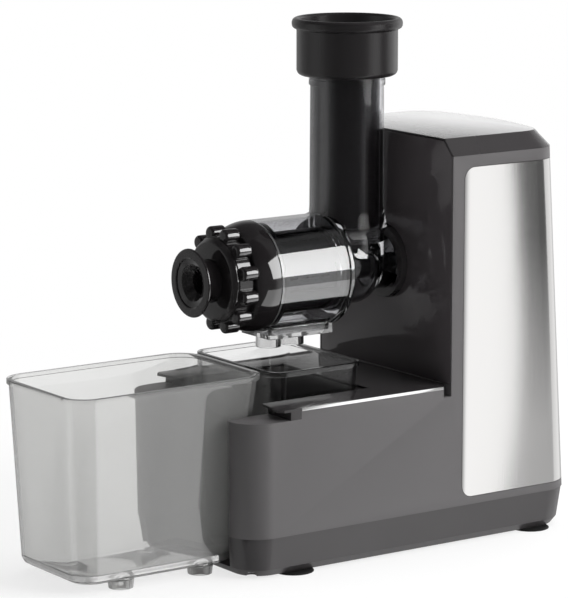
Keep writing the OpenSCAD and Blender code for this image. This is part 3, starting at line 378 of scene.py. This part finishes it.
# ---------------------------------------------------------------------------------------
# Bright strips along both sides of the deck. Chrome plated ABS, set in a rebate along the
# housing's edge: a nearly clean mirror, with a faint haze in patches of 11 mm.
plated, tree, shader = new_material("plated_trim")
place = add_node(tree, "ShaderNodeTexCoord")
haze = add_node(tree, "ShaderNodeTexNoise", {"Vector": place.outputs["Object"], "Scale": 90.0})
polish = add_node(tree, "ShaderNodeMapRange", {"Value": haze.outputs["Fac"], "To Min": 0.08,
                                               "To Max": 0.16})
shader.inputs["Base Color"].default_value = linear("E6E6E6")
shader.inputs["Metallic"].default_value = 1.0
tree.links.new(polish.outputs[0], shader.inputs["Roughness"])

rounded("deck_trim", "root", plated, 0.0003, steps=2)

# ---------------------------------------------------------------------------------------
# Bottom tray. Moulded ABS with the housing's texture, one tone darker and satin all over,
# screwed to the housing from below.
tray_abs, tree, shader = new_material("moulded_abs_dark_grey")
place = add_node(tree, "ShaderNodeTexCoord")
grain = add_node(tree, "ShaderNodeTexNoise", {"Vector": place.outputs["Object"], "Scale": 2000.0})
relief = add_node(tree, "ShaderNodeBump", {"Height": grain.outputs["Fac"], "Strength": 0.12,
                                           "Distance": 0.0002})
cloud = add_node(tree, "ShaderNodeTexNoise", {"Vector": place.outputs["Object"], "Scale": 18.0})
tone = add_node(tree, "ShaderNodeValToRGB", {0: cloud.outputs["Fac"]})
tone.color_ramp.elements[0].color = linear("3A3839")
tone.color_ramp.elements[1].color = linear("413F40")
shader.inputs["Roughness"].default_value = 0.42
tree.links.new(tone.outputs[0], shader.inputs["Base Color"])
tree.links.new(relief.outputs[0], shader.inputs["Normal"])

rounded("bottom_tray", "root", tray_abs, 0.0008)

# ---------------------------------------------------------------------------------------
# Suction feet and cord gland. Moulded black rubber, pressed into holes of the tray: a dull
# skin with a greyish bloom in specks of 3 mm.
rubber, tree, shader = new_material("moulded_rubber_black")
place = add_node(tree, "ShaderNodeTexCoord")
bloom = add_node(tree, "ShaderNodeTexNoise", {"Vector": place.outputs["Object"], "Scale": 300.0,
                                              "Detail": 4.0})
tone = add_node(tree, "ShaderNodeValToRGB", {0: bloom.outputs["Fac"]})
tone.color_ramp.elements[0].color = linear("161616")
tone.color_ramp.elements[1].color = linear("222222")
relief = add_node(tree, "ShaderNodeBump", {"Height": bloom.outputs["Fac"], "Strength": 0.1,
                                           "Distance": 0.0003})
shader.inputs["Roughness"].default_value = 0.6
tree.links.new(tone.outputs[0], shader.inputs["Base Color"])
tree.links.new(relief.outputs[0], shader.inputs["Normal"])

for node in ("suction_feet", "cord_gland"):
    rounded(node, "root", rubber, 0.0003)

# ---------------------------------------------------------------------------------------
# Clear containers and spout. Moulded SAN about 2.5 mm thick, with a faint grey tint that
# shows darker where the wall is seen edge on.
clear_san, tree, shader = new_material("moulded_san_clear")
place = add_node(tree, "ShaderNodeTexCoord")
# shallow waves of 110 mm, left by the melt's flow
flow = add_node(tree, "ShaderNodeTexNoise", {"Vector": place.outputs["Object"], "Scale": 9.0})
relief = add_node(tree, "ShaderNodeBump", {"Height": flow.outputs["Fac"], "Strength": 0.05,
                                           "Distance": 0.002})
shader.inputs["Base Color"].default_value = linear("E8E8E7")
shader.inputs["Roughness"].default_value = 0.02
shader.inputs["IOR"].default_value = 1.57
shader.inputs["Transmission Weight"].default_value = 0.9
tree.links.new(relief.outputs[0], shader.inputs["Normal"])

rounded("pulp_container", "pulp_container", clear_san, 0.0006)

# the juice container and the spout have a polished skin without haze, which mirrors little
polished_san = clear_san.copy()
polished_san.name = "moulded_san_polished"
shader = polished_san.node_tree.nodes["Principled BSDF"]
shader.inputs["Base Color"].default_value = linear("E6E6E6")
shader.inputs["Transmission Weight"].default_value = 1.0
shader.inputs["Specular IOR Level"].default_value = 0.16

rounded("juice_container", "juice_container", polished_san, 0.0006)
rounded("outlet_spout", "drum", polished_san, 0.0004)

# ---------------------------------------------------------------------------------------
# Drum with its chute: one clear, faintly smoky SAN moulding with a polished skin. The
# barrel, the feed section and the chute are turned and joined, then hollowed.
smoky_san, tree, shader = new_material("moulded_san_smoky")
place = add_node(tree, "ShaderNodeTexCoord")
# shallow waves of 70 mm
flow = add_node(tree, "ShaderNodeTexNoise", {"Vector": place.outputs["Object"], "Scale": 14.0})
relief = add_node(tree, "ShaderNodeBump", {"Height": flow.outputs["Fac"], "Strength": 0.03,
                                           "Distance": 0.002})
# the barrel mirrors as SAN does; the chute, above and behind it, gets a weaker index, a
# choice in the looks that keeps it dark round the plunger and free of lamps mirrored in it
axes = add_node(tree, "ShaderNodeSeparateXYZ", {0: place.outputs["Object"]})
above = add_node(tree, "ShaderNodeMapRange", {"Value": axes.outputs["Z"], "From Min": 0.243,
                                              "From Max": 0.252})
behind = add_node(tree, "ShaderNodeMapRange", {"Value": axes.outputs["Y"], "From Min": 0.028,
                                               "From Max": 0.034})
both = add_node(tree, "ShaderNodeMath", {0: above.outputs[0], 1: behind.outputs[0]},
                operation="MULTIPLY")
index = add_node(tree, "ShaderNodeMapRange", {"Value": both.outputs[0], "To Min": 1.57,
                                              "To Max": 1.15})
shader.inputs["Base Color"].default_value = linear("E0E0E2")
shader.inputs["Roughness"].default_value = 0.015
shader.inputs["Transmission Weight"].default_value = 1.0
tree.links.new(index.outputs[0], shader.inputs["IOR"])
tree.links.new(relief.outputs[0], shader.inputs["Normal"])


def arc(place, radius, size, angles):
    """Points of a round in a profile: its middle, its size, and angles in degrees."""
    return [(place + size * math.sin(a), radius + size * math.cos(a))
            for a in map(math.radians, angles)]


def turned(name, profile, axis, centre, closed, steps=96):
    """A piece turned from its profile, pairs of place along the axis and radius in mm.
    An open profile gets a flat end at both sides; a closed one is a ring."""
    along, turn = {"Y": (Vector((0, 1, 0)), (math.pi / 2, 0, 0)),
                   "Z": (Vector((0, 0, 1)), (0, 0, 0))}[axis]
    profile = [(place / 1000, radius / 1000) for place, radius in profile]
    bpy.ops.object.select_all(action="DESELECT")
    bpy.ops.mesh.primitive_circle_add(vertices=steps, radius=profile[0][1], rotation=turn)
    piece = bpy.context.object
    piece.name = name
    bpy.ops.object.transform_apply(location=False, rotation=True, scale=False)
    bpy.ops.object.mode_set(mode="EDIT")
    bpy.ops.mesh.select_all(action="SELECT")
    bpy.ops.transform.translate(value=centre + along * profile[0][0])
    bpy.context.tool_settings.mesh_select_mode = (False, True, False)
    bpy.ops.mesh.select_all(action="SELECT")
    for (was, wide), (place, radius) in zip(profile, profile[1:]):
        bpy.ops.mesh.extrude_edges_move(TRANSFORM_OT_translate={"value": along * (place - was)})
        bpy.ops.transform.resize(value=[1 if part else radius / wide for part in along],
                                 center_override=centre + along * place)
    bpy.ops.mesh.select_all(action="SELECT")
    bpy.ops.mesh.remove_doubles(threshold=0.000005)
    if not closed:
        bpy.ops.mesh.select_non_manifold(extend=False)
        bpy.ops.mesh.edge_face_add()
    bpy.ops.mesh.select_all(action="SELECT")
    bpy.ops.mesh.normals_make_consistent(inside=False)
    bpy.ops.object.mode_set(mode="OBJECT")
    return piece


def combine(piece, tool, operation):
    """Joins another solid to the piece or cuts it out, and removes the other one."""
    pick(piece)
    step = piece.modifiers.new("combine", "BOOLEAN")
    step.operation = operation
    step.solver = "EXACT"
    step.object = tool
    bpy.ops.object.modifier_apply(modifier=step.name)
    bpy.data.objects.remove(tool)


def cuboid(low, high):
    """A block between two corners in millimetres."""
    bpy.ops.object.select_all(action="DESELECT")
    bpy.ops.mesh.primitive_cube_add(size=1)
    made = bpy.context.object
    bpy.ops.object.mode_set(mode="EDIT")
    bpy.ops.mesh.select_all(action="SELECT")
    bpy.ops.transform.resize(value=[(b - a) / 1000 for a, b in zip(low, high)],
                             center_override=(0, 0, 0))
    bpy.ops.transform.translate(value=[(a + b) / 2000 for a, b in zip(low, high)])
    bpy.ops.object.mode_set(mode="OBJECT")
    return made


AXIS = Vector((0, 0, 0.22))              # the press lies 220 mm above the table
CHUTE_AXIS = Vector((0, 0.056, 0))
# radii, heights and corners in millimetres
BARREL, BEAD, FEED, PLUG = 44, 45.2, 31.5, 22       # outside radii from front to rear
CHUTE_FOOT, CHUTE_COLLAR, CHUTE_RING = 30.3, 32.5, 30.4
CHUTE_BORE, CHUTE_TOP = 26.7, 372
DOME, DOME_INSIDE = 18, 14.5                        # rounds where the feed section closes
OUTLET = (-17, -29, 174), (17, 25, 190)             # a block down to the spout
OUTLET_INSIDE = (-13, -25, 173), (13, 21, 189)

# barrel, bead at its rear, feed section under the chute, and the plug in the socket
drum = turned("drum_turned",
              [(-36.7, 43.7), (-36.4, BARREL), (28, BARREL), (28.2, 44.7), (28.6, 45.1),
               (29.2, BEAD), (31.8, BEAD), (32.4, 45.0), (32.8, 44.4), (33.2, 43.4),
               (33.8, 40.5), (34.4, 37.4), (35.2, 34.6), (36.4, 32.8), (38.2, 31.9),
               (40.6, FEED), (58, FEED)] +
              arc(58, FEED - DOME, DOME, range(6, 61, 6)) +
              [(74.5, PLUG), (97.6, PLUG), (98, 21.6)], "Y", AXIS, False, steps=160)
# chute: a ball that meets the feed section, a collar at the foot and a ring under the rim
chute = turned("chute",
               arc(220, 0, CHUTE_FOOT, range(-86, 0, 8)) +
               [(221, 30.2), (244, 30.0), (247, 30.4), (249.4, 31.4), (251, 32.3),
                (252.6, CHUTE_COLLAR), (254.6, 32.1), (258, 31.0), (262, 30.2), (268, 29.8),
                (364.6, 29.25), (365, 29.5), (365, 30.1), (365.4, CHUTE_RING),
                (369.6, CHUTE_RING), (370, 30.1), (370, 29.2), (371.7, 29.2),
                (CHUTE_TOP, 28.9)], "Z", CHUTE_AXIS, False, steps=128)
combine(drum, chute, "UNION")
combine(drum, cuboid(*OUTLET), "UNION")
# hollows: the press chamber with steps for strainer and seal, the chute, and the outlet
cavity = turned("cavity",
                [(-38, 41), (26, 41), (26, 32.8), (29, 32.8), (29, 27.8), (58, 27.8)] +
                arc(58, 13.3, DOME_INSIDE, range(10, 90, 10)) +
                [(72.5, 13.3), (72.5, 7.1), (76, 7.1), (76, 19), (99, 19)],
                "Y", AXIS, False, steps=160)
combine(drum, cavity, "DIFFERENCE")
combine(drum, turned("bore", [(240, CHUTE_BORE), (CHUTE_TOP + 1, CHUTE_BORE)], "Z", CHUTE_AXIS,
                     False, steps=128), "DIFFERENCE")
combine(drum, cuboid(*OUTLET_INSIDE), "DIFFERENCE")
press_pieces.objects.link(dress(drum, "drum_body", "drum", smoky_san))

# ---------------------------------------------------------------------------------------
# Front end: end cap, hand nut with twelve round grips, and the nozzle with its disc, all
# moulded in gloss black ABS. The cap plugs into the drum, and the nut turns on the cap's
# neck and holds the nozzle with its lip.
SEAM, CAP_LENGTH, FLANK_DROP = -37, 19, 5.5         # the cap's side narrows by the drop
CAP_NECK, NUT, NUT_LIP = 29.6, 34.5, 33.5           # radii in mm
TUBE, DISC, DISC_ROUND = 16.5, 25.7, 1.3
GRIPS, GRIP_CIRCLE = 12, 0.0366     # how many, and the circle they stand on, in metres

flank = [(SEAM - d, BARREL - FLANK_DROP * (d / CAP_LENGTH) ** 2)
         for d in (17.5, 15, 12, 9, 6, 3, 1)]
cap = turned("end_cap_turned",
             [(-68, 18), (-68, 29.0), (-67.4, CAP_NECK), (-56.3, CAP_NECK), (-56, 29.9),
              (-56, 37.4), (-55.7, 38.1), (-55.1, 38.6)] + flank +
             [(-37.4, BARREL), (-37.1, 43.9), (-37, 43.6), (-37, 40.7), (-35.8, 40.7),
              (-35.8, 38.4), (-33.4, 38.4), (-33.4, 40.7), (-32.4, 40.7), (-32, 40.3),
              (-32, 27.8), (-38, 27.8), (-53, 18), (-68, 18)], "Y", AXIS, True, steps=128)
press_pieces.objects.link(dress(cap, "end_cap", "drum", gloss_abs, sharp=25))

nozzle = turned("nozzle_turned",
                [(-85, 9), (-91.2, 14.4), (-91.8, 15.2), (-92.2, 18.4), (-92.6, 19.2),
                 (-93.6, 19.5), (-94, 20.1)] +
                arc(-92.7, DISC, DISC_ROUND, range(-90, 91, 15)) +
                [(-91.1, 18.6), (-90.6, 17.4), (-89.6, 16.7), (-88.4, TUBE), (-71.7, TUBE),
                 (-71.7, 28.6), (-69, 28.6), (-69, 9), (-85, 9)], "Y", AXIS, True)
press_pieces.objects.link(dress(nozzle, "pulp_nozzle", "nozzle", gloss_abs))

nut = turned("nut_turned",
             [(-75, 17.2), (-75, 29.4), (-74.7, 30.3), (-71.8, 33.2), (-71.2, NUT_LIP),
              (-70, NUT_LIP), (-70, 34.1), (-69.6, NUT), (-56.8, NUT), (-56.4, 34.1),
              (-56.4, 29.9), (-72, 29.9), (-72, 17.2), (-75, 17.2)],
             "Y", AXIS, True, steps=144)
# a grip is a pin with a large round in front and a small one behind
for i in range(GRIPS):
    turn = math.radians(360 / GRIPS * (i + 0.5))
    middle = AXIS + Vector((GRIP_CIRCLE * math.cos(turn), 0, GRIP_CIRCLE * math.sin(turn)))
    grip = turned("grip", arc(-67.2, 3.0, 2.8, range(-90, 1, 15)) +
                  arc(-57.6, 4.6, 1.2, range(0, 91, 30)), "Y", middle, False, steps=32)
    combine(nut, grip, "UNION")
press_pieces.objects.link(dress(nut, "ring_nut", "ring_nut", gloss_abs))

# ---------------------------------------------------------------------------------------
# Pusher: a plunger that slides in the chute, with a wide cup on top that rests on its rim.
# One hollow moulding of black polypropylene, whose satin skin mirrors only softly.
PLUNGER, CUP, CUP_RIM = 25.9, 40.2, 44.0            # radii in mm
pusher = turned("pusher_turned",
                [(251, 22.9), (252.0, 25.0), (252.9, 25.7), (254, PLUNGER), (372.3, PLUNGER),
                 (372.3, 35.0), (372.7, 36.8), (373.6, 38.5), (374.9, 39.6), (376.8, CUP),
                 (408.0, CUP), (408.9, 40.5), (409.5, 41.3), (409.9, 42.4), (410.6, 43.2),
                 (411.7, 43.8), (413.4, CUP_RIM), (415.0, 43.9), (416.4, 43.3), (417.4, 42.3),
                 (418.0, 41.0), (418.0, 40.0), (417.6, 39.0), (416.8, 38.2), (415.7, 37.8),
                 (379.6, 37.4), (378.2, 36.9), (377.2, 35.6), (375.6, 25.0), (374.6, 23.8),
                 (373.0, 23.6), (256.2, 23.5), (254.8, 22.9), (254.1, 21.5)],
                "Z", CHUTE_AXIS, False, steps=128)
satin_pp, tree, shader = new_material("moulded_pp_satin_black")
place = add_node(tree, "ShaderNodeTexCoord")
# rubbed and less rubbed patches of 8 mm
haze = add_node(tree, "ShaderNodeTexNoise", {"Vector": place.outputs["Object"], "Scale": 120.0,
                                             "Detail": 3.0})
polish = add_node(tree, "ShaderNodeMapRange", {"Value": haze.outputs["Fac"], "To Min": 0.25,
                                               "To Max": 0.28})
shader.inputs["Base Color"].default_value = linear("1E1C1D")
shader.inputs["Specular IOR Level"].default_value = 0.4
tree.links.new(polish.outputs[0], shader.inputs["Roughness"])

dress(pusher, "pusher", "pusher", satin_pp)

# ---------------------------------------------------------------------------------------
# Auger, strainer frame and mains switch. Moulded in black polypropylene, duller than the
# pusher, with a flow pattern of 2.5 mm. They are shown as the CAD has them.
def coat(material, *nodes):
    """Gives CAD pieces that are shown as they are their material."""
    for node in nodes:
        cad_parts[node].data.materials.clear()
        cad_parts[node].data.materials.append(material)


matte_pp, tree, shader = new_material("moulded_pp_black")
place = add_node(tree, "ShaderNodeTexCoord")
grain = add_node(tree, "ShaderNodeTexNoise", {"Vector": place.outputs["Object"], "Scale": 400.0})
polish = add_node(tree, "ShaderNodeMapRange", {"Value": grain.outputs["Fac"], "To Min": 0.3,
                                               "To Max": 0.5})
shader.inputs["Base Color"].default_value = linear("222122")
tree.links.new(polish.outputs[0], shader.inputs["Roughness"])
coat(matte_pp, "auger", "strainer_frame", "switch_body", "switch_rocker")

# ---------------------------------------------------------------------------------------
# Steel of motor, gearbox and drive shaft, and the tray's screws. Turned and pressed steel
# without paint, with oily and dry patches of 2 mm that make its sheen uneven.
bare_steel, tree, shader = new_material("turned_steel")
place = add_node(tree, "ShaderNodeTexCoord")
grain = add_node(tree, "ShaderNodeTexNoise", {"Vector": place.outputs["Object"], "Scale": 500.0})
polish = add_node(tree, "ShaderNodeMapRange", {"Value": grain.outputs["Fac"], "To Min": 0.2,
                                               "To Max": 0.4})
shader.inputs["Base Color"].default_value = linear("A9A9AB")
shader.inputs["Metallic"].default_value = 1.0
tree.links.new(polish.outputs[0], shader.inputs["Roughness"])
coat(bare_steel, "drive_shaft", "tray_screws", "gearbox_front_plate", "gearbox_rear_plate",
     "gearbox_posts", "gearbox_screws", "output_bearings", "idler_axle", "motor_can",
     "motor_stator", "motor_bearings", "motor_screws", "rotor_shaft", "rotor_core")

# ---------------------------------------------------------------------------------------
# Strainer sheet. Perforated stainless, rolled and set inside the strainer frame. The solid
# has slots for its rows of fine holes, and the shade in its fine holes is painted into its colour,
# a grey far darker than bare steel, which is a little rough.
screen, tree, shader = new_material("strainer_sheet_painted_shade")
place = add_node(tree, "ShaderNodeTexCoord")
grain = add_node(tree, "ShaderNodeTexNoise", {"Vector": place.outputs["Object"], "Scale": 700.0})
polish = add_node(tree, "ShaderNodeMapRange", {"Value": grain.outputs["Fac"], "To Min": 0.35,
                                               "To Max": 0.55})
# dark grey: painted shade for the holes, not the steel's own colour
shader.inputs["Base Color"].default_value = linear("4C4C4E")
shader.inputs["Metallic"].default_value = 1.0
tree.links.new(polish.outputs[0], shader.inputs["Roughness"])
coat(screen, "strainer_screen")

# ---------------------------------------------------------------------------------------
# Seals of drum, end cap and nozzle. Moulded grey silicone, held in a groove or pressed flat
# between two pieces, with a soft skin that never shines.
silicone, tree, shader = new_material("silicone_grey")
place = add_node(tree, "ShaderNodeTexCoord")
grain = add_node(tree, "ShaderNodeTexNoise", {"Vector": place.outputs["Object"], "Scale": 300.0})
polish = add_node(tree, "ShaderNodeMapRange", {"Value": grain.outputs["Fac"], "To Min": 0.4,
                                               "To Max": 0.55})
shader.inputs["Base Color"].default_value = linear("9A9A98")
tree.links.new(polish.outputs[0], shader.inputs["Roughness"])
coat(silicone, "drum_seal", "end_cap_seal", "nozzle_seal")

# ---------------------------------------------------------------------------------------
# Gears and motor fan. Moulded in nylon filled with glass fibre, cream coloured, with fibres
# that lie near the skin and dull it in specks of 2 mm.
nylon, tree, shader = new_material("glass_filled_nylon")
place = add_node(tree, "ShaderNodeTexCoord")
grain = add_node(tree, "ShaderNodeTexNoise", {"Vector": place.outputs["Object"], "Scale": 600.0})
polish = add_node(tree, "ShaderNodeMapRange", {"Value": grain.outputs["Fac"], "To Min": 0.35,
                                               "To Max": 0.5})
shader.inputs["Base Color"].default_value = linear("D2CBB4")
tree.links.new(polish.outputs[0], shader.inputs["Roughness"])
coat(nylon, "output_gear", "idler_gear", "motor_fan")

# ---------------------------------------------------------------------------------------
# Motor windings. Varnished copper wire, wound in bundles: strands of 1 mm, drawn coarser
# than the real 0.4 mm, lie lighter and darker under the gloss of the varnish.
copper, tree, shader = new_material("varnished_copper_wire")
place = add_node(tree, "ShaderNodeTexCoord")
strands = add_node(tree, "ShaderNodeTexNoise", {"Vector": place.outputs["Object"], "Scale": 900.0})
tone = add_node(tree, "ShaderNodeValToRGB", {0: strands.outputs["Fac"]})
tone.color_ramp.elements[0].color = linear("7A3A1C")
tone.color_ramp.elements[1].color = linear("B4622F")
shader.inputs["Roughness"].default_value = 0.35
tree.links.new(tone.outputs[0], shader.inputs["Base Color"])
coat(copper, "motor_windings")
